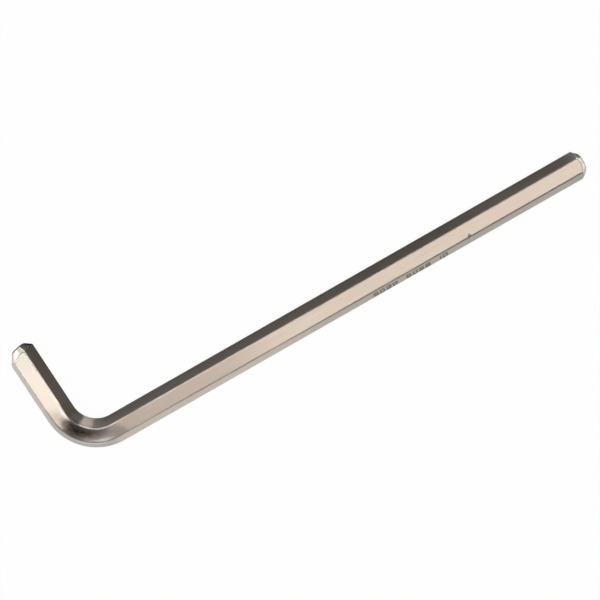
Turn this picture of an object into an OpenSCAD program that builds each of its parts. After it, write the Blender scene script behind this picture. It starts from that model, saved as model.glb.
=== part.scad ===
// L-shaped hex key: one hexagonal bar of tool steel, chamfered at both tips and bent once.
// It lies on a flat. X runs along the long arm, Y along the short arm, and Z is up.
// The origin is under the middle of the key's outline, on the surface that it lies on.

/* [Bar] */
// Width across the flats, which is the size of screw that the key fits
across_flats = 10; // [7:0.5:14]
// Rounding of the six long corners of the drawn bar
corner_r = 0.8; // [0.3:0.1:1.4]

/* [Arms] */
// Length of the long arm, from the back of the short arm to the tip
long_arm = 224; // [120:1:300]
// Length of the short arm, from the back of the long arm to the tip
short_arm = 51; // [42:0.5:90]
// Angle between the arms, a little over square where the steel sprang back
arm_angle = 92; // [90:0.5:96]

/* [Bend] */
// Radius of the inner corner of the bend
bend_r = 10; // [6:0.5:14]
// Rise of the squeezed inner edge of the upper face in the bend
bend_rise = 0.45; // [0:0.05:0.8]
// Sink of the stretched outer edge of the upper face in the bend
bend_sink = 0.45; // [0:0.05:0.8]
// Depth of the hollow that the bend leaves between these two edges
bend_hollow = 0.25; // [0:0.05:0.4]
// Stretch of each arm over which the bend's change of section dies out
bend_run = 5; // [3:0.5:8]

/* [Tips] */
// Angle between the chamfer's slope and the arm
chamfer_angle = 40; // [30:1:50]
// Length of the chamfer along the long corners
chamfer_l = 3.1; // [1:0.1:3.5]
// Radius that rounds the chamfer into the end face
tip_r = 2.6; // [0.5:0.1:3.5]
// Tilt of the short tip's chamfer, which cuts deeper on the outer side of the bend
short_tip_tilt = 10; // [0:1:12]

/* [Hidden] */

corner_steps = 4;                 // facets on each rounded long corner
flat_steps = 4;                   // strips across each flat
bend_step = 4;                    // degrees of bend between two rings
run_steps = 4;                    // rings in the stretch where the change dies out
round_steps = 6;                  // facets on the rounding of a tip

corners = 6;
corner_turn = 360 / corners;
half_flats = across_flats / 2;
// From the axis to the centre of a corner's rounding, and to the rounded corner itself
corner_at = (half_flats - corner_r) / cos(corner_turn / 2);
corner_reach = corner_at + corner_r;
// Half the width of a face between its two rounded corners
half_face = corner_at * sin(corner_turn / 2);

// The bend turns the bar's axis through an arc, whose ends lie tangent_l from the crossing
turn = 180 - arm_angle;
axis_r = bend_r + corner_reach;
tangent_l = axis_r * tan(turn / 2);
arc_l = axis_r * turn * PI / 180;
// The section changes from bend_run before the arc, on the long arm, to as far past it
change_l = arc_l + 2 * bend_run;
change_reach = tangent_l + bend_run;
ring_count = ceil(turn / bend_step) + 2 * run_steps;

// Where the chamfer meets the end plane, and the flat disc that its rounding leaves there
end_r = corner_reach - chamfer_l * tan(chamfer_angle);
round_turn = 90 - chamfer_angle;
round_r = min(tip_r, 0.9 * end_r / tan(round_turn / 2));
disc_r = end_r - round_r * tan(round_turn / 2);

// From the crossing of the arms' axes to the two end planes
long_end = long_arm - corner_reach;
lean = arm_angle + short_tip_tilt - 90;
short_end = (short_arm - corner_reach - round_r * (1 - cos(lean)) - disc_r * sin(lean))
    / sin(arm_angle);
// Where the chamfer starts on the short arm's outer corner, the furthest point towards -X
chamfer_start = short_end - end_r * sin(short_tip_tilt)
    - (corner_reach - end_r * cos(short_tip_tilt)) / tan(chamfer_angle - short_tip_tilt);
low_x = chamfer_start * cos(arm_angle) - corner_reach * sin(arm_angle);
mid_x = (long_end + low_x) / 2;
mid_y = short_arm / 2 - corner_reach;

// Arc of one rounded corner of the bar, as points [towards the inside of the bend, up]
function corner_arc(k) = [
    for (i = [0 : corner_steps])
        let (mid = k * corner_turn, a = mid + corner_turn * (i / corner_steps - 0.5))
        corner_at * [cos(mid), sin(mid)] + corner_r * [cos(a), sin(a)]
];
function between(a, b, steps) = [for (i = [1 : 1 : steps - 1]) a + (b - a) * i / steps];

// Outline of the bar, with each face between two corners split into equal strips
function bar_ring() = [
    for (k = [0 : corners - 1])
        let (arc = corner_arc(k))
        each concat(arc, between(arc[corner_steps], corner_arc(k + 1)[0], flat_steps))
];

// Share of the bend's change of section that is reached at a length along the bar, counted
// from where the change starts on the long arm
function ease(t) = let (c = min(max(t, 0), 1)) c * c * (3 - 2 * c);
function share_at(l) = ease(l / (2 * bend_run)) * ease((change_l - l) / (2 * bend_run));

// A point of the section as the bend moves it. Metal squeezed on the inner side rises, metal
// stretched on the outer side sinks, and the face between hollows. The lower face lay on the
// bending bed, so it never drops below it.
function bent(p, share) =
    let (
        across = p[0] / half_face,
        height = p[1] / half_flats,
        lift = across * (across > 0 ? bend_rise : bend_sink),
        hollow = bend_hollow * max(1 - across * across, 0) * pow(height, 8)
    )
    [p[0], p[1] + share * height * ((height > 0 ? lift : min(lift, 0)) - hollow)];

// Length along the bar at which ring i of the bend stands
function ring_l(i) =
    i < run_steps ? bend_run * i / run_steps
    : i > ring_count - run_steps ? change_l - bend_run * (ring_count - i) / run_steps
    : bend_run + arc_l * (i - run_steps) / (ring_count - 2 * run_steps);
// All rings of the bar: the two past the tips, and those of the bend between them
stations = concat(
    [change_reach - long_end - corner_reach],
    [for (i = [0 : ring_count]) ring_l(i)],
    [change_l - change_reach + short_end + corner_reach]
);

// A point of the section, carried to a length along the bar's bent axis
function placed(p, l) =
    let (
        on_arc = min(max(l - bend_run, 0), arc_l),
        past = l - bend_run - on_arc,
        a = on_arc / axis_r * 180 / PI,
        inwards = [sin(a), cos(a)],
        along = [-cos(a), sin(a)],
        xy = [tangent_l, axis_r] + (p[0] - axis_r) * inwards + past * along
    )
    [xy[0], xy[1], p[1]];

// The whole bar, bent, with both ends still longer than the key
module bar() {
    ring = bar_ring();
    n = len(ring);
    last = len(stations) - 1;
    points = [for (l = stations) for (p = ring) placed(bent(p, share_at(l)), l)];
    skin = [
        for (i = [0 : last - 1], j = [0 : n - 1])
            let (a = i * n + j, b = i * n + (j + 1) % n)
            each [[a, b, b + n], [a, b + n, a + n]]
    ];
    // Each end is closed by a fan of triangles round a point on the bar's axis
    axis_ends = [placed([0, 0], stations[0]), placed([0, 0], stations[last])];
    hub = len(points);
    far = last * n;
    fans = [
        for (j = [0 : n - 1])
            let (k = (j + 1) % n)
            each [[hub, k, j], [hub + 1, far + j, far + k]]
    ];
    polyhedron(concat(points, axis_ends), concat(skin, fans));
}

// Half section of what is turned off an end, as [radius, height over the end plane]: all that
// lies outside the cone, its rounding and the flat disc
waste_l = 2 * corner_reach;
waste_r = end_r + waste_l * tan(chamfer_angle);
waste_section = concat(
    [[waste_r, -waste_l]],
    [for (i = [0 : round_steps])
        let (a = chamfer_angle + round_turn * i / round_steps)
        [disc_r + round_r * cos(a), round_r * (sin(a) - 1)]],
    [[0, 0], [0, waste_l], [waste_r, waste_l]]
);

// What is turned off the end of an arm that runs along X to the end plane
module tip_waste(end, tilt) {
    rotate(a = 120, v = [1, 1, 1])
        translate([0, 0, end]) rotate([0, tilt, 0])
        rotate_extrude($fn = 96) polygon(waste_section);
}

module hex_key() {
    color([0.74, 0.69, 0.64])
        translate([-mid_x, -mid_y, half_flats])
        difference() {
            bar();
            tip_waste(long_end, 0);
            rotate([0, 0, arm_angle]) tip_waste(short_end, short_tip_tilt);
        }
}

hex_key();
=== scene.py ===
# %% [markdown]
# # A hex key, bent from one drawn bar
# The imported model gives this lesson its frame: a bar 10 mm across its flats, which lies on a table
# with its long arm along X, its short arm along Y, and Z up. The frame already has the right sizes.
# What it lacks is what the eye reads as metal: soft long corners, turned ends, marks from the stamp
# and from the bench, and a satin finish that runs along the bar. The key is one piece, so the
# lesson makes one mesh that takes the place of the CAD node, and spends the rest on its finish.

import bpy
import numpy as np
from mathutils import Matrix, Vector


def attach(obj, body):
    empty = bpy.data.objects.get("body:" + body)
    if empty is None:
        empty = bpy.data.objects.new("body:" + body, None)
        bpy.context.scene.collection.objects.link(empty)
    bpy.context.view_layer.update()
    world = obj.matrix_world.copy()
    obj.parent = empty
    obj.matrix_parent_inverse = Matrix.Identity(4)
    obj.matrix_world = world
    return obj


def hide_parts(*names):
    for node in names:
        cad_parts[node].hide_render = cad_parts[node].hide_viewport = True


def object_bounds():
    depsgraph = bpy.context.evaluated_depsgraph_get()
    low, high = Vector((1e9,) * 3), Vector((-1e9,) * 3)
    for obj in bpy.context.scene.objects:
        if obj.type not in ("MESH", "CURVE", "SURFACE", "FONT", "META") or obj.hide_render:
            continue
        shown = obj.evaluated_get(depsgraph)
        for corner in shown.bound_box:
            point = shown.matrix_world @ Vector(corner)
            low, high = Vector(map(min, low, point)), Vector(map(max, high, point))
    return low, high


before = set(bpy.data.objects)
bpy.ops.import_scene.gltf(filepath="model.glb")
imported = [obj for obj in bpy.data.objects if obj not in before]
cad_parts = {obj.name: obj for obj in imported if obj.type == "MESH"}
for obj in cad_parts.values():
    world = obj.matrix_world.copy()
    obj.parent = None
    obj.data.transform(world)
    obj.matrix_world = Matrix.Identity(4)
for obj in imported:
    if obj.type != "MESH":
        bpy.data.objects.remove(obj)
cad_box = [list(corner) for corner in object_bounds()]
MM = 0.001
print("The frame's box in mm:", [[round(c / MM, 2) for c in corner] for corner in cad_box])

# %% [markdown]
# ## The camera
# The photograph was taken from almost straight above, with the camera turned so that the long arm
# runs up to the right. The camera comes first, because every later choice is judged through it.
# Its place and its three axes were found by fitting the edges of the bar to the picture, and they
# are written as where it stands, what lies straight behind it, and what it takes for up.

# %% Stand the camera over the key
SENSOR_WIDTH, LENS = 36.0, 70.16
camera_place = Vector((3.88, 42.31, 443.90)) * MM
camera_back = Vector((0.02231, 0.12326, 0.99212)).normalized()
camera_up = Vector((0.49567, 0.86045, -0.11805))
camera_right = camera_up.cross(camera_back).normalized()

camera_data = bpy.data.cameras.new("over_the_key")
camera_data.sensor_width = SENSOR_WIDTH
camera_data.lens = LENS
camera = bpy.data.objects.new("over_the_key", camera_data)
turned = Matrix((camera_right, camera_back.cross(camera_right), camera_back)).transposed()
camera.matrix_world = Matrix.Translation(camera_place) @ turned.to_4x4()
bpy.context.scene.collection.objects.link(camera)
bpy.context.scene.camera = camera
print("The camera stands", round(camera_place.length / MM), "mm from the key's middle")

# %% [markdown]
# ## The drawn bar
# The bar is pulled cold through a hexagonal die, which leaves six flat faces and six corners with a
# small radius. A cube with a Bevel modifier could do it, but here the outline is worked out: six
# arcs, each about the centre of its corner, and straight flats between them. The flats get as many
# steps as what happens on them needs. The flat on the upper outer side gets the most, because the
# stamp goes there.

# %% The outline of the bar
ACROSS_FLATS = 10.0
CORNER_R = 0.8
CORNER_STEPS = 8
FLAT_STEPS = (14, 26, 44, 6, 6, 6)  # from the inner upper flat, over the top, and round

half_flats = ACROSS_FLATS / 2
corner_at = (half_flats - CORNER_R) / np.cos(np.pi / 6)
corner_reach = corner_at + CORNER_R
half_face = corner_at / 2


def bar_outline():
    """Points (p, q) once round the bar, p towards the inside of the bend and q up. For corner k,
    the corner's centre at k sixths of a turn, plus the radius in every direction from half a sixth
    before to half a sixth after; then the straight line to the next arc, in equal steps."""
    arcs = []
    for k in range(6):
        middle = k * np.pi / 3
        a = middle + np.linspace(-np.pi / 6, np.pi / 6, CORNER_STEPS + 1)
        arcs.append(np.stack([corner_at * np.cos(middle) + CORNER_R * np.cos(a),
                              corner_at * np.sin(middle) + CORNER_R * np.sin(a)], axis=1))
    rows = []
    for k in range(6):
        t = np.linspace(0, 1, FLAT_STEPS[k] + 1)[1:-1, None]
        rows += [arcs[k], arcs[k][-1] * (1 - t) + arcs[(k + 1) % 6][0] * t]
    return np.concatenate(rows)


outline = bar_outline()
p_bar, q_bar = outline.T
print(len(outline), "points round the bar,", round(2 * corner_reach, 2), "mm across the corners")

# %% [markdown]
# ## The bent path
# The bar is bent once, cold, round a former. Its axis is then a straight line, an arc and a
# straight line. A length along the axis says where a ring of points goes, and the same rule works
# on whole arrays: every point has its own length, so a ring may also stand askew, which the short
# tip needs.

# %% Carry points along the bent bar
LONG_ARM, SHORT_ARM, ARM_ANGLE = 224.0, 51.0, 92.0
BEND_R = 10.0

bend_turn = np.radians(180 - ARM_ANGLE)
axis_r = BEND_R + corner_reach
arc_l = axis_r * bend_turn
tangent_l = axis_r * np.tan(bend_turn / 2)
long_end = LONG_ARM - corner_reach
mid_x = long_end - cad_box[1][0] / MM
mid_y = -corner_reach - cad_box[0][1] / MM


def carry(p, q, l):
    """Place in mm of section point (p, q) at length l along the axis, counted from the start of the
    arc. The part of l that lies on the arc turns the section about the arc's centre, and what is
    left over, before or after, moves it straight on."""
    on_arc = np.clip(l, 0, arc_l)
    past = l - on_arc
    a = on_arc / axis_r
    x = tangent_l + (p - axis_r) * np.sin(a) - past * np.cos(a) - mid_x
    y = axis_r + (p - axis_r) * np.cos(a) + past * np.sin(a) - mid_y
    return np.stack([x, y, q + half_flats], axis=-1)


print("The bend is", round(float(arc_l), 1), "mm long on the bar's axis")

# %% [markdown]
# ## What the bend does to the section
# Bending squeezes the inner side of the bar and stretches the outer side. The squeezed metal has to
# go somewhere, so the upper face rises along its inner edge, sinks along its outer edge and hollows
# in between. This slope is what turns the face dark in the bend. The lower face lay on the bed of
# the bending tool, so it hollows and its outer edge lifts, but it never drops below the table. The
# rule is the one that the frame's own source uses.

# %% Squeeze and stretch
BEND_RISE, BEND_SINK, BEND_HOLLOW, BEND_RUN = 0.45, 0.45, 0.25, 5.0


def ease(t):
    """Runs from 0 to 1 as t does, and sets off and lands without a jolt."""
    t = np.clip(t, 0, 1)
    return t * t * (3 - 2 * t)


def squeezed(p, q, l):
    """The section's new q at length l. Full height times a slope across the face (rise inside, sink
    outside), less a parabola for the hollow, times the share of the bend that is reached there."""
    share = ease((l + BEND_RUN) / (2 * BEND_RUN)) * ease((arc_l + BEND_RUN - l) / (2 * BEND_RUN))
    across, height = p / half_face, q / half_flats
    lift = across * np.where(across > 0, BEND_RISE, BEND_SINK)
    hollow = BEND_HOLLOW * np.maximum(1 - across ** 2, 0) * height ** 8
    return q + share * height * (np.where(height > 0, lift, np.minimum(lift, 0)) - hollow)


# %% [markdown]
# ## The turned tips
# Each end was turned: a cone that takes the corners off, a rounding and a small flat disc. Cutting
# the bar with a cone would work, but it leaves long thin triangles along the cut. Here each ring of
# the bar is held inside the turned profile instead: a point keeps its direction from the axis, and
# its distance becomes the smaller of the bar's and the profile's. A soft minimum leaves the small
# break of the edge that polishing gives. The two profiles were fitted to the outlines of the two
# ends in the picture. The short end was ground askew, deeper on the outer side, so there the rings
# lean until they lie square to the grinding axis.

# %% Rings of a turned tip
# Angle of the cone to the bar, its length along the corners, rounding, lean of the axis in degrees
LONG_TIP, SHORT_TIP = (42.5, 2.5, 1.6, -2.0), (42.0, 3.3, 2.4, -10.0)
LONG_TIP_WORN, SHORT_TIP_WORN = 0.65, 0.25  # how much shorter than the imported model's
EDGE_BREAK = 0.12
DISC_RINGS, ROUNDING_RINGS, PAST_RINGS = 6, 15, 8
RING_GAP = 0.14
LONG_CONE_DEPTH, SHORT_CONE_DEPTH = 3.4, 6.6  # how deep the close rings of each cone go
SQUARE_FROM, SQUARE_AT = 8.0, 16.0  # depth at which a leaning ring starts and ends coming upright
OUT_OF_REACH = 99.0  # a radius limit that the bar never meets
LAST_RUN_R = 9.0  # a radius limit past this adds nothing to the run


def tip_profile(angle, length, radius, cone_depth):
    """Depth, radius limit and run of each ring, from the disc inwards: the disc's radii, then the
    arc of the rounding, then the cone's straight line, then rings past it, whose limit is out of
    reach. The run is the way along the profile from the middle of the disc."""
    slope = np.tan(np.radians(angle))
    end_r = corner_reach - length * slope
    disc_r = end_r - radius * np.tan(np.radians(90 - angle) / 2)
    disc = np.linspace(0.1, 1, DISC_RINGS + 1)[:-1] * disc_r
    a = np.linspace(np.pi / 2, np.radians(angle), ROUNDING_RINGS)
    arc_depth, arc_radius = radius * (1 - np.sin(a)), disc_r + radius * np.cos(a)
    cone = np.arange(arc_depth[-1] + RING_GAP, cone_depth, RING_GAP)
    past = np.linspace(cone[-1] + 0.5, SQUARE_AT, PAST_RINGS)
    depth = np.concatenate([0 * disc, arc_depth, cone, past])
    limit = np.concatenate([disc, arc_radius, end_r + cone * slope, past + OUT_OF_REACH])
    radial = np.minimum(limit, LAST_RUN_R)
    run = np.cumsum(np.hypot(np.diff(depth, prepend=0), np.diff(radial, prepend=0)))
    return depth, limit, run


def soft_min(a, b, width):
    """The smaller of a and b, rounded over where they are within width of each other."""
    h = np.clip(0.5 + (b - a) / (2 * width), 0, 1)
    return b * (1 - h) + a * h - width * h * (1 - h)


def tip_rings(depth, limit, tilt):
    """Points (p, q), distance from the end plane and share of the radius that is left, for every
    ring of a tip, as arrays of rings by points round the bar. In the plane of a ring, which leans
    by the tilt, a point of the bar lies at (w, q) from the turning axis. Its distance from there
    is held to the profile's limit."""
    lean = tilt * (1 - ease((depth - SQUARE_FROM) / (SQUARE_AT - SQUARE_FROM)))[:, None]
    depth, limit = depth[:, None], limit[:, None]
    w = (p_bar + depth * np.sin(lean)) / np.cos(lean)
    distance = np.hypot(w, q_bar)
    held = soft_min(distance, limit, EDGE_BREAK) / distance
    p = w * held * np.cos(lean) - depth * np.sin(lean)
    return p, q_bar * held, depth * np.cos(lean) + w * held * np.sin(lean), held


long_depth, long_limit, long_run = tip_profile(*LONG_TIP[:3], LONG_CONE_DEPTH)
short_depth, short_limit, short_run = tip_profile(*SHORT_TIP[:3], SHORT_CONE_DEPTH)
long_tip_l = tangent_l - long_end + LONG_TIP_WORN
short_end = SHORT_ARM - corner_reach - SHORT_TIP_WORN
short_tip_l = arc_l - tangent_l + short_end / np.sin(np.radians(ARM_ANGLE))
print("Rings in the two tips:", len(long_depth), "and", len(short_depth))

# %% [markdown]
# ## The stamp and the knocks
# Numbers are struck cold into the upper outer flat, a third of the way back from the long tip: two
# plain counts of four digits, and the size. They are real dents: strokes with soft walls, pushed in
# along the flat's own normal. A bump texture would be cheaper, but dents this deep catch the light
# on one wall and lose it on the other, and they are part of the mesh itself.
# A nick in the long corner and two knocks in the bend come from use, and are made the same way.
# The rule also gives back how deep each point was pushed, because the strokes are painted darker:
# dirt and painted shade in the hollows.

# %% Dents in the flats
STAMP_DEPTH, STROKE_W, STROKE_WALL = 0.24, 0.46, 0.75  # the wall is a share of the stroke
DIGIT_W, DIGIT_H, DIGIT_PITCH = 1.5, 2.5, 2.75
STAMP_DROP = -0.45  # how far below the middle of the flat the digits stand
STAMP_WORDS = ((19.4, "5028"), (33.6, "6058"), (46.6, "10"))  # where each starts, and what it says
NICK_X, NICK_DEPTH, NICK_W, NICK_SLANT = 61.2, 0.22, 0.6, 0.3
NICK_DOWN, NICK_OVER = 4.5, 1.6  # how far the nick runs down the outer flat, and over the top
# The share of the nick that is painted darker, as dirt and painted shade
NICK_DIRT_AND_SHADE = 0.35
KNOCKS = ((11.2, -0.92, 0.35, 0.16), (10.2, -2.3, 0.30, 0.16))  # length, p, radius, depth
OUTER = np.radians(150)  # the way that the upper outer flat faces
NICKED_CORNER = np.radians(120)  # where the corner over that flat lies
SKIN = 0.1  # how far under the flat's plane a point still counts as on the flat


def stroke(x, y, start, end):
    """Distance of every point from the straight stroke that joins two ends."""
    (ax, ay), (bx, by) = start, end
    length2 = (bx - ax) ** 2 + (by - ay) ** 2
    t = np.clip(((x - ax) * (bx - ax) + (y - ay) * (by - ay)) / length2, 0, 1)
    return np.hypot(x - ax - t * (bx - ax), y - ay - t * (by - ay))


# Each digit is a walk over six corners: a b on top, c d in the middle, e f at the foot
CORNERS = {letter: (column * DIGIT_W, row * DIGIT_H / 2) for letter, column, row in
           (("a", 0, 1), ("b", 1, 1), ("c", 0, 0), ("d", 1, 0), ("e", 0, -1), ("f", 1, -1))}
WALKS = {"0": "abfea", "1": "bf", "2": "abdcef", "5": "bacdfe", "6": "bacefdc", "8": "cabdcefd"}


def digit_strokes(start, words):
    """The strokes of a number: for each digit, a stroke between each two corners of its walk."""
    ends = []
    for place, digit in enumerate(words):
        x = start + place * DIGIT_PITCH
        walk = [(x + CORNERS[c][0], CORNERS[c][1]) for c in WALKS[digit]]
        ends += zip(walk[:-1], walk[1:])
    return ends


strokes = [ends for start, words in STAMP_WORDS for ends in digit_strokes(start, words)]


def dented(p, q, l):
    """(p, q) with the stamp and the nick pushed in, and the pushed share of every point. The stamp
    goes in along the outer flat's normal, the nick towards the axis from the corner over it."""
    x = tangent_l - mid_x - l
    up = p * np.sin(OUTER) - q * np.cos(OUTER)
    under = half_flats - p * np.cos(OUTER) - q * np.sin(OUTER)
    on_flat = ease(1 - under / SKIN) * (np.abs(up) < half_face)
    near = np.minimum.reduce([stroke(x, up - STAMP_DROP, a, b) for a, b in strokes])
    stamped = on_flat * ease((STROKE_W - near) / (STROKE_WALL * STROKE_W))
    corner_p, corner_q = corner_reach * np.cos(NICKED_CORNER), corner_reach * np.sin(NICKED_CORNER)
    nick_reach = np.where(p < corner_p, NICK_DOWN, NICK_OVER)
    from_corner = np.hypot(p - corner_p, q - corner_q) / nick_reach
    from_line = (x - NICK_X - NICK_SLANT * (q - corner_q)) / NICK_W
    nicked = ease(1.2 - np.hypot(from_line, from_corner))
    reach = np.hypot(p, q)
    p_new = p - STAMP_DEPTH * stamped * np.cos(OUTER) - NICK_DEPTH * nicked * p / reach
    q_new = q - STAMP_DEPTH * stamped * np.sin(OUTER) - NICK_DEPTH * nicked * q / reach
    return p_new, q_new, np.maximum(stamped, NICK_DIRT_AND_SHADE * nicked)


def knocked(p, q, l):
    """How far each point is knocked down in the bend: a round dip at each place in the list."""
    dips = [depth * ease(1 - np.hypot(l - at_l, p - at_p) / radius)
            for at_l, at_p, radius, depth in KNOCKS]
    return np.where(q > 0, np.sum(dips, axis=0), 0)


print(len(strokes), "strokes in the stamp")

# %% [markdown]
# ## The sweep
# Now the outline, the path, the tips and the dents meet in one grid: one row for each ring and one
# column for each point round the bar. The rings stand close together where the shape changes, in
# the tips, the stamp and the bend, and far apart on the plain lengths. Two single points close the
# ends.

# %% One grid for the whole key
STAMP_STRETCH = (18.0, 63.5)  # from where to where, in X, the stamp and the nick lie
PLAIN_STEP, STAMP_STEP, BEND_STEP = 2.0, 0.16, 0.32
stamp_start = tangent_l - mid_x - STAMP_STRETCH[1]
stamp_stop = tangent_l - mid_x - STAMP_STRETCH[0]
bend_start, bend_stop = -BEND_RUN - 1, arc_l + BEND_RUN + 1
tip_clear = SQUARE_AT + 1.0

body_l = np.concatenate([
    np.arange(long_tip_l + tip_clear, stamp_start, PLAIN_STEP),
    np.arange(stamp_start, stamp_stop, STAMP_STEP),
    np.arange(stamp_stop, bend_start, PLAIN_STEP),
    np.arange(bend_start, bend_stop, BEND_STEP),
    np.arange(bend_stop, short_tip_l - tip_clear, PLAIN_STEP),
])[:, None]

p, q, back, long_held = tip_rings(long_depth, long_limit, np.radians(LONG_TIP[3]))
long_l = long_tip_l + back
long_tip = carry(p, q, long_l)
p, q, back, short_held = tip_rings(short_depth[::-1], short_limit[::-1], np.radians(SHORT_TIP[3]))
short_l = short_tip_l - back
short_tip = carry(p, q, short_l)
p, q, pushed = dented(p_bar + 0 * body_l, q_bar + 0 * body_l, body_l)
q = squeezed(p, q, body_l) - knocked(p, q, body_l)
body = carry(p, q, body_l)
grid = np.concatenate([long_tip, body, short_tip])
poles = np.stack([carry(0.0, 0.0, long_tip_l), carry(0.0, 0.0, short_tip_l)])
grid[..., 2] = np.maximum(grid[..., 2], 0)
rows, columns = grid.shape[:2]
print("The grid has", rows, "rings of", columns, "points")

# %% Put the grid into a mesh
def grid_faces(rows, columns):
    """Quads between neighbouring rings, closed round the bar, and a fan of triangles per end."""
    index = np.arange(rows * columns).reshape(rows, columns)
    after = np.roll(index, -1, axis=1)
    quads = np.stack([index[:-1], index[1:], after[1:], after[:-1]], axis=-1).reshape(-1, 4)
    first, last = rows * columns, rows * columns + 1
    start = np.stack([np.full(columns, first), index[0], after[0]], axis=-1)
    stop = np.stack([np.full(columns, last), after[-1], index[-1]], axis=-1)
    return quads, np.concatenate([start, stop])


quads, fans = grid_faces(rows, columns)
vertices = np.concatenate([grid.reshape(-1, 3), poles]) * MM
mesh = bpy.data.meshes.new("hex_key_bar")
mesh.from_pydata(vertices.tolist(), [], quads.tolist() + fans.tolist())
key = bpy.data.objects.new("hex_key_bar", mesh)
bpy.context.scene.collection.objects.link(key)
mesh.shade_smooth()
print(len(mesh.polygons), "faces")

# %% [markdown]
# ## Millimetres on the metal
# The finish needs to know which way its lines run. On the drawn bar they run along it, round the
# bend as well, so the map holds millimetres round the bar (U) and along it (V). On the turned tips
# the marks run round instead, so there U is the way along the profile and V the way round. A quad
# is turned where most of its corners were held in by the profile.

# %% The map
TURNED_BELOW = 0.995  # with less than this share of its radius left, a point lies on the turned face

round_mm = np.concatenate([[0], np.cumsum(np.linalg.norm(
    np.diff(outline, axis=0, append=outline[:1]), axis=1))])
along_mm = np.concatenate([long_l, body_l + 0 * p_bar, short_l]) - long_tip_l
along_mm = np.concatenate([along_mm, along_mm[:, :1]], axis=1)
run_mm = np.concatenate([long_run, 0 * body_l[:, 0], short_run[::-1]])
turned = np.concatenate([long_held, 1 + 0 * pushed, short_held]) < TURNED_BELOW
turned = np.concatenate([turned, turned[:, :1]], axis=1)

j, i = np.meshgrid(np.arange(columns), np.arange(rows - 1))
corner_i = np.stack([i, i + 1, i + 1, i], axis=-1)
corner_j = np.stack([j, j, j + 1, j + 1], axis=-1)
quad_turned = (turned[corner_i, corner_j].mean(axis=-1) > 0.5)[..., None]
quad_u = np.where(quad_turned, run_mm[corner_i], round_mm[corner_j])
quad_v = np.where(quad_turned, round_mm[corner_j], along_mm[corner_i, corner_j])
k = np.arange(columns)
fan_i = np.array([0, long_run[0], long_run[0]]) + 0 * k[:, None]
start_v = np.stack([round_mm[k], round_mm[k], round_mm[k + 1]], axis=-1)
stop_v = np.stack([round_mm[k], round_mm[k + 1], round_mm[k]], axis=-1)
us = np.concatenate([quad_u.ravel(), fan_i.ravel(), fan_i.ravel()])
vs = np.concatenate([quad_v.ravel(), start_v.ravel(), stop_v.ravel()])
bar_map = mesh.uv_layers.new(name="bar_mm")
bar_map.uv.foreach_set("vector", np.stack([us, vs], axis=-1).astype(np.float32).ravel())
print("The map runs", round(float(round_mm[-1]), 1), "mm round the bar and",
      round(float(along_mm.max()), 1), "mm along it")

# %% [markdown]
# ## Marks of the making, and painted light
# The finish isn't the same everywhere, and the mesh tells the material where it changes. Four
# values ride on the points. The first is how deep the stamp pushed them, where dirt and painted
# shade go. The second is a painted dark reflection along the corner over the stamp, above 0, or a
# painted highlight on the corner inside the bend, below 0. The third is a painted dark reflection
# on the top in the bend, above 0, or a painted highlight on its outer edge, below 0. The fourth is
# painted shade on the sides that look into the angle of the arms and on the rims of the ends. Each
# is a rule over the length l along the bar, given as places and amounts, times a rule over the way
# round it.

# %% Stamp, and painted light on the corners and the top in the bend
CORNER_BAND = 0.55  # mm either side of a corner that the painted dark line and highlight reach
PAINTED_CORNER_SHADE_L = ([-150, -130, -45, -10, 15, 20], [1.0, 0.6, 0.6, 0.0, 0.0, 0.3])
PAINTED_CORNER_HIGHLIGHT_L = ([-4, 2, 16, 22], [0, 1, 1, 0])
PAINTED_BEND_SHADE_L = ([2.5, 6, 9, 12, 15, 19, 22.5], [0, 0.25, 0.5, 0.8, 1, 0.9, 0])
PAINTED_EDGE_HIGHLIGHT_L = ([1, 5, 12, 16], [0, 1, 1, 0])

on_body = slice(len(long_l), len(long_l) + len(body_l))
stamped = np.zeros((rows, columns))
stamped[on_body] = pushed

all_l = np.concatenate([long_l[:, :1], body_l, short_l[:, :1]])
angle = np.arctan2(q_bar, p_bar)
to_corner = np.abs((angle + np.pi / 6) % (np.pi / 3) - np.pi / 6) * corner_reach
painted_corner_shade = np.interp(all_l, *PAINTED_CORNER_SHADE_L) * (np.abs(angle - np.radians(120)) < 0.5)
painted_corner_highlight = np.interp(all_l, *PAINTED_CORNER_HIGHLIGHT_L) * (np.abs(angle - np.radians(60)) < 0.5)
corner_mark = ease(1 - to_corner / CORNER_BAND) * (painted_corner_shade - painted_corner_highlight)

# Across the top: painted dark from the inner edge to a little past the middle, least right at the
# edge
across = p_bar / half_face
bend_shade_across = ease(across * 0.75 + 0.70 + 0.2 * ease((body_l - 11) / 4))
bend_shade_across = bend_shade_across * (1 - 0.4 * ease(across * 2.5 - 1.25))
painted_bend_shade = np.interp(body_l, *PAINTED_BEND_SHADE_L) * bend_shade_across
# A painted highlight along the outer edge of the top in the bend
painted_edge_highlight = np.interp(body_l, *PAINTED_EDGE_HIGHLIGHT_L) * ease(-2.2 * across - 0.7)
bent = np.zeros((rows, columns))
bent[on_body] = (painted_bend_shade - painted_edge_highlight) * ease(4 * q_bar / half_flats - 2.8)

at_poles = np.zeros((2, 3))
marks = np.concatenate([np.stack([stamped, corner_mark, bent], axis=-1).reshape(-1, 3), at_poles])
held_marks = mesh.attributes.new("marks", "FLOAT_VECTOR", "POINT")
held_marks.data.foreach_set("vector", marks.astype(np.float32).ravel())
print("Deepest stamp:", round(float(stamped.max()), 2))
print("Most strain:", round(float(bent.max()), 2), "and most rubbed:", round(float(bent.min()), 2))

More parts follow.
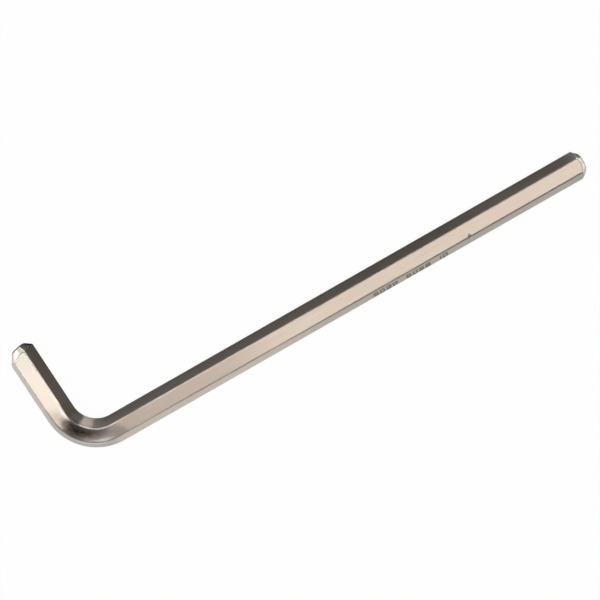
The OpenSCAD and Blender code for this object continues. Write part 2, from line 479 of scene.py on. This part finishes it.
# %% Painted shade on the inner sides and the rims
# The sides that look into the angle of the arms get painted shade, most near the bend and just
# behind the long tip, and less on the bend's own inner side, where it is lifted. The rims of the
# ends get painted shade too. A rim is told by its depth, as a share of the tip's rounding
PAINTED_SHADE_L = ([-200, -198, -194, -185, -172, -150, -90, -60, -10, 22, 50],
               [0.5, 1.0, 1.0, 0.85, 0.5, 0.5, 0.6, 0.9, 1.2, 0.88, 0.8])
RIM_DEPTH, RIM_FADE = 0.2, 0.1
LONG_RIM, SHORT_RIM = 0.82, 0.6


def rim_of(depth, radius, amount):
    """The amount on the rings whose depth is under RIM_DEPTH of the rounding, then fading to 0."""
    return amount * (1 - ease((depth / radius - RIM_DEPTH) / RIM_FADE))


shade_lifted_in_bend = ease((all_l - 2) / 8) * ease((22 - all_l) / 8)
painted_shade = ease((np.cos(angle) - 0.48) / 0.08) * np.interp(all_l, *PAINTED_SHADE_L) * (1 - 0.7 * shade_lifted_in_bend)
rims = np.concatenate([rim_of(long_depth, LONG_TIP[2], LONG_RIM), 0 * body_l[:, 0],
                       rim_of(short_depth[::-1], SHORT_TIP[2], SHORT_RIM)])[:, None]
painted_shade = np.maximum(painted_shade, rims)
held_angle = mesh.attributes.new("painted_shade", "FLOAT", "POINT")
held_angle.data.foreach_set("value", np.append(painted_shade.ravel(), [0, 0]).astype(np.float32))
mesh.update()
print("Least plated point:", round(float(painted_shade.max()), 2))

# %% [markdown]
# ## Nickel over steel
# The bar is chrome vanadium steel with a thin coat of satin nickel. Nickel reflects a little more
# red than blue, which gives it a warm grey. The coat follows the fine lines that the die drew into
# the steel, so light spreads far across the bar and hardly along it: the finish is anisotropic.
# That is why the two arms differ so much in one light, although they are the same metal: their
# lines lie across each other. A metal keeps the default IOR.

# %% Colours and nodes
def linear(hex_colour):
    """An sRGB hex colour as the linear numbers that a shader works with."""
    c = np.array([int(hex_colour[i:i + 2], 16) for i in (1, 3, 5)]) / 255
    return (*np.where(c <= 0.04045, c / 12.92, ((c + 0.055) / 1.055) ** 2.4), 1.0)


def add_node(tree, kind, settings=(), **links):
    """A node of one kind. Settings are (name, value) pairs, for a property or an input socket, and
    links join its inputs to the outputs of other nodes."""
    node = tree.nodes.new(kind)
    for name, value in settings:
        if name in node.inputs:
            node.inputs[name].default_value = value
        else:
            setattr(node, name, value)
    for name, source in links.items():
        tree.links.new(source, node.inputs[name.replace("_", " ")])
    return node


def noise_mm(tree, place, round_size, along_size, detail):
    """Noise with blotches of one size in mm round the bar and another along it."""
    scaled = add_node(tree, "ShaderNodeVectorMath", [("operation", "MULTIPLY")])
    tree.links.new(place.outputs["UV"], scaled.inputs[0])
    scaled.inputs[1].default_value = (1 / round_size, 1 / along_size, 1)
    return add_node(tree, "ShaderNodeTexNoise", [("Scale", 1.0), ("Detail", detail)],
                    Vector=scaled.outputs["Vector"])


def mixed_colour(tree, factor, one, other):
    """A colour that goes from one to the other with the factor. Each is a colour or an output."""
    node = add_node(tree, "ShaderNodeMix", [("data_type", "RGBA")])
    tree.links.new(factor, node.inputs[0])
    for socket, colour in ((node.inputs[6], one), (node.inputs[7], other)):
        if isinstance(colour, tuple):
            socket.default_value = colour
        else:
            tree.links.new(colour, socket)
    return node.outputs[2]


def stretched(tree, value, low, high, to_low=0.0, to_high=1.0):
    """A value laid out anew: low becomes to_low, high becomes to_high, and no further."""
    return add_node(tree, "ShaderNodeMapRange", [
        ("From Min", low), ("From Max", high), ("To Min", to_low), ("To Max", to_high)],
        Value=value).outputs["Result"]


print("An sRGB mid grey is", round(float(linear("#808080")[0]), 3), "for the shader")

# %% Satin nickel plate
nickel = bpy.data.materials.new("satin_nickel_plate")
nickel.use_nodes = True
tree = nickel.node_tree
tree.nodes.clear()
bar_place = add_node(tree, "ShaderNodeUVMap", [("uv_map", "bar_mm")])
marked = add_node(tree, "ShaderNodeAttribute", [("attribute_name", "marks")])
mark = add_node(tree, "ShaderNodeSeparateXYZ", [], Vector=marked.outputs["Vector"])

# Blotches of the plating, about 9 by 22 mm, a little pinker and a little greener
blotch = noise_mm(tree, bar_place, 9.0, 22.0, 1.0)
plate_colour = mixed_colour(tree, stretched(tree, blotch.outputs["Fac"], 0.35, 0.65),
                            linear("#E4D6CB"), linear("#E1D9CB"))
# Drawn lines. Real ones are some 0.05 mm apart, too fine to show, so they are drawn 0.5 mm apart
drawn = noise_mm(tree, bar_place, 0.5, 18.0, 2.0)
plate_colour = mixed_colour(tree, stretched(tree, drawn.outputs["Fac"], 0.3, 0.7, 0.12, 0.0),
                            plate_colour, linear("#8C8278"))
# Painted dark reflection on the top in the bend, in patches of about 2 mm
shade_patches = noise_mm(tree, bar_place, 1.6, 2.4, 2.0)
patch = add_node(tree, "ShaderNodeMath", [("operation", "MULTIPLY")])
tree.links.new(stretched(tree, shade_patches.outputs["Fac"], 0.35, 0.60, 0.5, 0.93), patch.inputs[0])
tree.links.new(mark.outputs["Z"], patch.inputs[1])
plate_colour = mixed_colour(tree, patch.outputs["Value"], plate_colour, linear("#4A3A35"))
# Painted dark reflection along the corner over the stamp, and painted highlights on the corner
# and on the outer edge of the top in the bend
plate_colour = mixed_colour(tree, stretched(tree, mark.outputs["Y"], 0.0, 1.0, 0.0, 0.75),
                            plate_colour, linear("#5E5048"))
plate_colour = mixed_colour(tree, stretched(tree, mark.outputs["Y"], 0.0, -1.0, 0.0, 0.9),
                            plate_colour, linear("#FFFDFA"))
plate_colour = mixed_colour(tree, stretched(tree, mark.outputs["Z"], 0.0, -1.0, 0.0, 0.9),
                            plate_colour, linear("#FFFDFA"))
# Dirt and painted shade in the strokes and the nick
plate_colour = mixed_colour(tree, stretched(tree, mark.outputs["X"], 0.0, 0.8, 0.0, 0.65),
                            plate_colour, linear("#4A423C"))
# Painted shade on the sides that look into the angle of the arms, and on the rims of the ends
painted_shade_node = add_node(tree, "ShaderNodeAttribute", [("attribute_name", "painted_shade")])
plate_colour = mixed_colour(tree, stretched(tree, painted_shade_node.outputs["Fac"], 0.0, 1.2, 0.0, 0.6),
                            plate_colour, linear("#4A423C"))
print("Satin nickel has", len(tree.nodes), "nodes for its colour")

# %% Its relief and its shine
# The strained skin is also uneven, by a few hundredths of a millimetre
peel = noise_mm(tree, bar_place, 2.4, 2.8, 1.0)
peel_height = add_node(tree, "ShaderNodeMath", [("operation", "MULTIPLY")])
tree.links.new(peel.outputs["Fac"], peel_height.inputs[0])
tree.links.new(mark.outputs["Z"], peel_height.inputs[1])
uneven = add_node(tree, "ShaderNodeBump", [("Strength", 1.0), ("Distance", 0.06 * MM)],
                  Height=peel_height.outputs["Value"])
# The fine lines run along V of the map. Across them the highlight is wide, along them narrow
lines_run = add_node(tree, "ShaderNodeTangent", [
    ("direction_type", "UV_MAP"), ("uv_map", "bar_mm")])
plate = add_node(tree, "ShaderNodeBsdfPrincipled", [
    ("Metallic", 1.0), ("Roughness", 0.345), ("Anisotropic", 0.965)], Base_Color=plate_colour,
    Tangent=lines_run.outputs["Tangent"], Normal=uneven.outputs["Normal"])
add_node(tree, "ShaderNodeOutputMaterial", [], Surface=plate.outputs["BSDF"])
mesh.materials.append(nickel)
print("Made", nickel.name)

# %% [markdown]
# ## Turned ends
# The turned tips carry the same nickel, but a turned face scatters light more evenly than a drawn
# one, and its marks run round. Their faces get a material of their own, rougher and much less
# anisotropic, and painted paler as a sheen, which reads as a soft light band round each end.

# %% Turned nickel plate
turned_nickel = bpy.data.materials.new("turned_nickel_plate")
turned_nickel.use_nodes = True
tree = turned_nickel.node_tree
tree.nodes.clear()
marks_run = add_node(tree, "ShaderNodeTangent", [
    ("direction_type", "UV_MAP"), ("uv_map", "bar_mm")])
painted_shade_node = add_node(tree, "ShaderNodeAttribute", [("attribute_name", "painted_shade")])
# Paler than the drawn bar as a painted sheen, and darker by the painted shade on the cones' inner
# sides and the rims
tip_colour = mixed_colour(tree, stretched(tree, painted_shade_node.outputs["Fac"], 0.0, 0.8, 0.0, 0.97),
                          linear("#FFF3E4"), linear("#4A423C"))
plate = add_node(tree, "ShaderNodeBsdfPrincipled", [
    ("Metallic", 1.0), ("Roughness", 0.42), ("Anisotropic", 0.3)], Base_Color=tip_colour,
    Tangent=marks_run.outputs["Tangent"])
add_node(tree, "ShaderNodeOutputMaterial", [], Surface=plate.outputs["BSDF"])
mesh.materials.append(turned_nickel)
is_turned = np.concatenate([quad_turned.ravel(), np.ones(2 * columns, bool)])
mesh.polygons.foreach_set("material_index", is_turned.astype(np.int32))
# The edge between a flat and a cone is crisp, so the shading isn't smoothed across it
at_border = np.zeros((2, len(vertices)), bool)
at_border[0, quads[is_turned[:len(quads)]]] = True
at_border[1, quads[~is_turned[:len(quads)]]] = True
edge_ends = np.empty(2 * len(mesh.edges), np.int32)
mesh.edges.foreach_get("vertices", edge_ends)
crisp = at_border.all(axis=0)[edge_ends].reshape(-1, 2).all(axis=1)
mesh.attributes.new("sharp_edge", "BOOLEAN", "EDGE").data.foreach_set("value", crisp)
mesh.update()
print("Made", turned_nickel.name, "for", int(is_turned.sum()), "faces")

# %% [markdown]
# ## The table
# The key lies on plain white paper. The camera sees the paper as white, with a little of the key's
# shadow left in. What the metal sees is set apart from that. In the angle between the arms it sees
# a matt black card, as a photographer lays one to give bright metal a dark side, and elsewhere
# paper. The paper is shaded just beyond each tip, brighter further out before the lamps, and bright
# in front of the bend. This gives the turned ends their light cones.

# %% Places on the paper
PAPER_HALF = 2500.0
PAPER_DROP = 0.05  # how far under the key it lies, so that the two don't share a plane

paper = bpy.data.materials.new("white_paper")
paper.use_nodes = True
tree = paper.node_tree
tree.nodes.clear()
paper_place = add_node(tree, "ShaderNodeTexCoord").outputs["Object"]
split = add_node(tree, "ShaderNodeSeparateXYZ", [], Vector=paper_place)
paper_x, paper_y = split.outputs["X"], split.outputs["Y"]


def maths(operation, *values):
    """One Math node. Each of its values is a number or a node's output."""
    node = add_node(tree, "ShaderNodeMath", [("operation", operation)])
    for socket, value in zip(node.inputs, values):
        if isinstance(value, float):
            socket.default_value = value
        else:
            tree.links.new(value, socket)
    return node.outputs["Value"]


def distance_from(x, y):
    """How far every point of the paper lies from one place on it."""
    node = add_node(tree, "ShaderNodeVectorMath", [("operation", "DISTANCE")])
    tree.links.new(paper_place, node.inputs[0])
    node.inputs[1].default_value = (x * MM, y * MM, 0)
    return node.outputs["Value"]


print("The paper reaches", PAPER_HALF, "mm each way")

# %% Paper and card
# The card's four edges: along each arm, and aslant beyond each tip. Places are in mm
card, level = 1.0, 1.0
for value, off, on in ((paper_x, -105.7, -101.7), (paper_y, -19.85, -15.85),
                       (maths("MULTIPLY_ADD", paper_y, -0.7, paper_x), 136.0, 130.0),
                       (maths("MULTIPLY_ADD", paper_x, -1.2, paper_y), 155.0, 149.0)):
    card = maths("MULTIPLY", card, stretched(tree, value, off * MM, on * MM))
# The paper's level: the two tips' shade, the brighter ends and the bright place before the bend
for value, low, high, at_low, at_high in (
        (distance_from(120.0, -19.85), 9.0, 20.0, 0.25, 1.0),
        (distance_from(-107.0, 33.0), 9.0, 20.0, 0.55, 1.0),
        (paper_x, 125.0, 150.0, 1.0, 1.8), (paper_y, 40.0, 65.0, 1.0, 3.0),
        (distance_from(-122.0, -34.0), 12.0, 30.0, 1.4, 1.0)):
    level = maths("MULTIPLY", level, stretched(tree, value, low * MM, high * MM, at_low, at_high))
seen_by_metal = mixed_colour(tree, card, linear("#E0E6EA"), linear("#343230"))
metal_light = add_node(tree, "ShaderNodeEmission", [], Color=seen_by_metal, Strength=level)
matt = add_node(tree, "ShaderNodeBsdfDiffuse", [("Color", linear("#E8E8E6"))])
white = add_node(tree, "ShaderNodeEmission", [("Color", (1, 1, 1, 1)), ("Strength", 1.0)])
# Near the key the camera sees a little of the matt paper, so that a shadow is left in, far off none
WHITE_NEAR, FADE_FROM, FADE_TO = 0.975, 300.0, 800.0
whitened = stretched(tree, distance_from(0.0, 0.0), FADE_FROM * MM, FADE_TO * MM, WHITE_NEAR, 1.0)
for_camera = add_node(tree, "ShaderNodeMixShader", [], Fac=whitened)
tree.links.new(matt.outputs["BSDF"], for_camera.inputs[1])
tree.links.new(white.outputs["Emission"], for_camera.inputs[2])
ray = add_node(tree, "ShaderNodeLightPath")
camera_or_not = add_node(tree, "ShaderNodeMixShader", [], Fac=ray.outputs["Is Camera Ray"])
tree.links.new(matt.outputs["BSDF"], camera_or_not.inputs[1])
tree.links.new(for_camera.outputs["Shader"], camera_or_not.inputs[2])
metal_or_not = add_node(tree, "ShaderNodeMixShader", [], Fac=ray.outputs["Is Glossy Ray"])
tree.links.new(camera_or_not.outputs["Shader"], metal_or_not.inputs[1])
tree.links.new(metal_light.outputs["Emission"], metal_or_not.inputs[2])
add_node(tree, "ShaderNodeOutputMaterial", [], Surface=metal_or_not.outputs["Shader"])
print("The paper's material has", len(tree.nodes), "nodes")

# %% Lay the paper
paper_mesh = bpy.data.meshes.new("paper")
side, under = PAPER_HALF * MM, -PAPER_DROP * MM
paper_corners = [(-side, -side, under), (side, -side, under),
                 (side, side, under), (-side, side, under)]
paper_mesh.from_pydata(paper_corners, [], [(0, 1, 2, 3)])
paper_mesh.materials.append(paper)
floor = bpy.data.objects.new("paper", paper_mesh)
bpy.context.scene.collection.objects.link(floor)
print("The paper is", round(2 * side, 1), "m wide")

# %% [markdown]
# ## The light
# The arms' lines lie across each other, so each arm gathers light from its own part of the room.
# The long arm's upper face gets it from two boxes near the zenith, behind and to the right, the
# short arm's from two boxes on the left. Low boxes do the rest: one in front for the outer flats,
# one in the angle of the arms for the glow inside the bend, one on its right, and one towards each
# tip. Between them the room stays dark, and the bend's upper face, whose lines point there, goes
# dark with it. Places and brightness were found by fitting the tones along the key to those in the
# photograph.

# %% Soft boxes
def soft_box(name, over, width, depth, brightness, tint="#FFFFFF"):
    """An area lamp a metre from the key, which it faces. Over is the X and Y of its direction,
    width runs along X as near as a lamp that faces the key can, and depth across that. Its power
    is brightness times pi times its area, so that a mirror would show it at that brightness."""
    data = bpy.data.lights.new(name, "AREA")
    data.shape, data.size, data.size_y = "RECTANGLE", width, depth
    data.energy = brightness * np.pi * width * depth
    data.color = linear(tint)[:3]
    lamp = bpy.data.objects.new(name, data)
    towards = Vector((*over, np.sqrt(1 - over[0] ** 2 - over[1] ** 2)))
    across = (Vector((1, 0, 0)) - towards * towards.x).normalized()
    turned = Matrix((across, towards.cross(across), towards)).transposed()
    lamp.matrix_world = Matrix.Translation(towards) @ turned.to_4x4()
    lamp.visible_camera = False
    bpy.context.scene.collection.objects.link(lamp)
    return lamp


soft_box("left_box", (-0.82, 0.00), 0.40, 0.38, 1.5, "#F9FBFF")
soft_box("left_strip", (-0.63, 0.01), 0.62, 0.19, 2.7, "#F9FBFF")
soft_box("back_box", (-0.21, 0.25), 0.28, 0.21, 6.7, "#FFF8F4")
soft_box("right_box", (0.195, -0.155), 0.59, 0.24, 5.2, "#FFF8F4")
soft_box("front_box", (-0.22, -0.95), 0.39, 0.43, 1.5, "#FFF8F4")
soft_box("inside_box", (0.588, 0.740), 0.50, 0.39, 4.0)
soft_box("right_low_box", (0.88, 0.34), 0.34, 0.16, 1.2)
soft_box("right_tip_box", (0.90, -0.38), 0.36, 0.34, 1.6)
soft_box("back_tip_box", (-0.66, 0.73), 0.40, 0.36, 2.4)
paper_lamp = soft_box("paper_lamp", (0, 0), 1.2, 1.2, 0.5)
paper_lamp.visible_glossy = False
print("Soft boxes:", len(bpy.data.lights), "and of them one for the paper alone")

# %% A plain room
world = bpy.data.worlds.new("plain_room")
world.use_nodes = True
tree = world.node_tree
tree.nodes.clear()
room = add_node(tree, "ShaderNodeBackground", [("Color", linear("#060606")), ("Strength", 1.0)])
behind = add_node(tree, "ShaderNodeBackground", [("Color", (1, 1, 1, 1)), ("Strength", 1.0)])
ray = add_node(tree, "ShaderNodeLightPath")
mixed = add_node(tree, "ShaderNodeMixShader", [], Fac=ray.outputs["Is Camera Ray"])
tree.links.new(room.outputs["Background"], mixed.inputs[1])
tree.links.new(behind.outputs["Background"], mixed.inputs[2])
add_node(tree, "ShaderNodeOutputWorld", [], Surface=mixed.outputs["Shader"])
bpy.context.scene.world = world
bpy.context.scene.view_settings.view_transform = "Standard"
print("The room is", world.name)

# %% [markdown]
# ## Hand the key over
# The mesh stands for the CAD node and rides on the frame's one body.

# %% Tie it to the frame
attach(key, "root")
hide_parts("hex_key")
